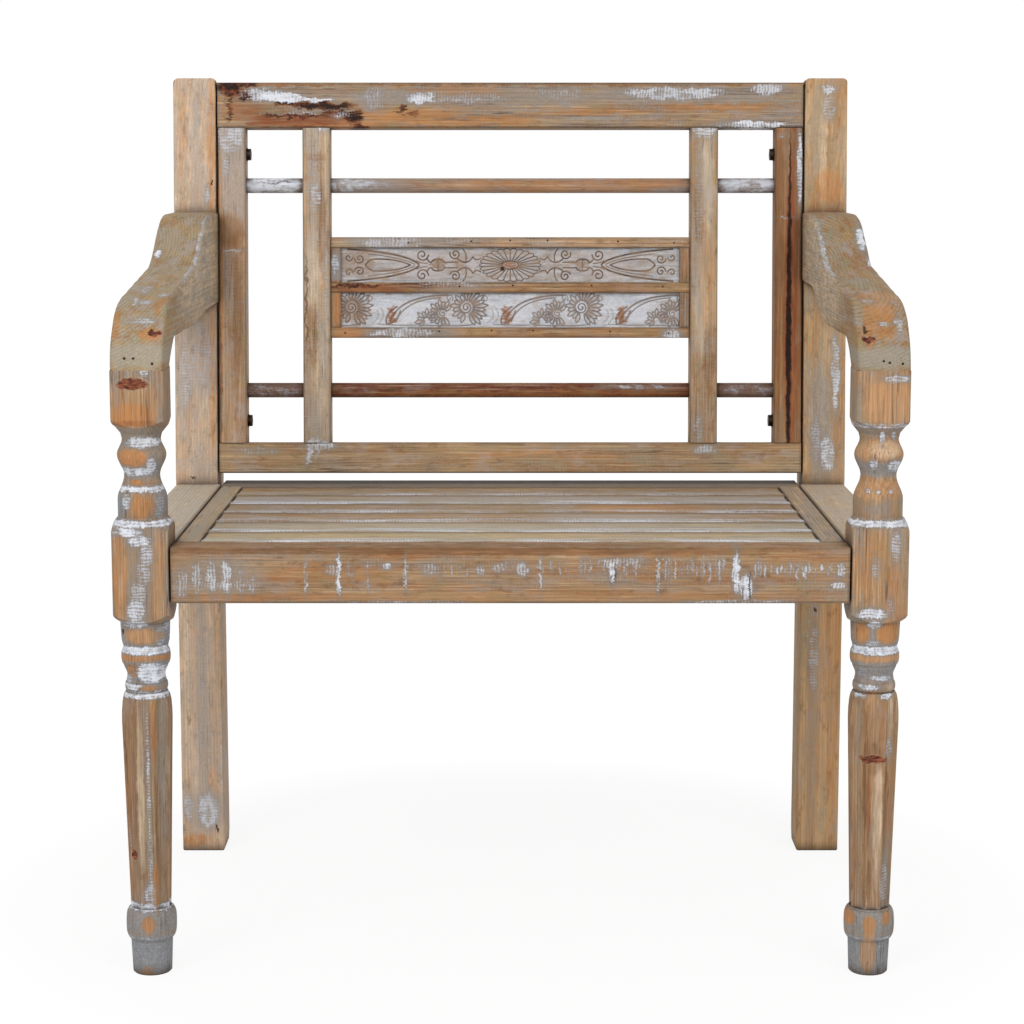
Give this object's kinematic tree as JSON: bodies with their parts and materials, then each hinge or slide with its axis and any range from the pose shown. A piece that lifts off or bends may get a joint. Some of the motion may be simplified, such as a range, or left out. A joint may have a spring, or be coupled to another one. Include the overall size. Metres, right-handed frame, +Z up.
{
  "type": "wooden bench",
  "caption": "Small wooden arm bench with turned fluted front legs, serpentine armrests, a slatted seat and an open back with rods and carved boards.",
  "frame": {"origin": "on the floor, midway between the outer faces of the legs and between the front and rear extremes", "axes": "+X to the right seen from the front, +Y towards the back of the bench, +Z up"},
  "size_m": [0.798, 0.5538, 0.9228],
  "materials": {
    "leg_wood": "turned fir, whitewashed and rubbed back",
    "frame_wood": "planed fir, whitewashed and rubbed back",
    "arm_wood": "sawn and rounded fir, whitewashed and rubbed back",
    "seat_wood": "planed fir, whitewashed and rubbed back",
    "back_wood": "planed fir, whitewashed and rubbed back",
    "rod_wood": "round fir rod with worn grey paint",
    "carved_wood": "carved fir under rubbed blue-white chalk paint",
    "strip_wood": "thin bare fir strips",
    "dowel_wood": "plain beech",
    "bolt_steel": "browned steel",
    "zinc_steel": "zinc plated steel"
  },
  "bodies": {
    "root": {"front_leg_left": "leg_wood", "front_leg_right": "leg_wood", "rear_post_left": "frame_wood", "rear_post_right": "frame_wood", "armrest_left": "arm_wood", "armrest_right": "arm_wood", "side_rail_left": "frame_wood", "side_rail_right": "frame_wood", "seat_front_rail": "seat_wood", "seat_rear_rail": "seat_wood", "seat_end_batten_left": "seat_wood", "seat_end_batten_right": "seat_wood", "seat_slat_1": "seat_wood", "seat_slat_2": "seat_wood", "seat_slat_3": "seat_wood", "seat_slat_4": "seat_wood", "seat_slat_5": "seat_wood", "seat_slat_6": "seat_wood", "seat_bearer": "seat_wood", "back_top_rail": "back_wood", "back_bottom_rail": "back_wood", "back_stile_left": "back_wood", "back_stile_right": "back_wood", "back_batten_left": "back_wood", "back_batten_right": "back_wood", "back_rod_lower": "rod_wood", "back_rod_upper": "rod_wood", "carved_board_lower": "carved_wood", "carved_board_upper": "carved_wood", "panel_strip_bottom": "strip_wood", "panel_strip_middle": "strip_wood", "panel_strip_top": "strip_wood", "panel_end_strips_left": "strip_wood", "panel_end_strips_right": "strip_wood", "back_bolts": "bolt_steel", "back_washers": "bolt_steel", "back_insert_nuts": "zinc_steel", "seat_bolts": "bolt_steel", "seat_washers": "bolt_steel", "seat_insert_nuts": "zinc_steel", "rail_dowels": "dowel_wood", "arm_screws": "zinc_steel", "arm_plugs": "strip_wood", "bearer_screws": "zinc_steel"}
  },
  "joints": []
}
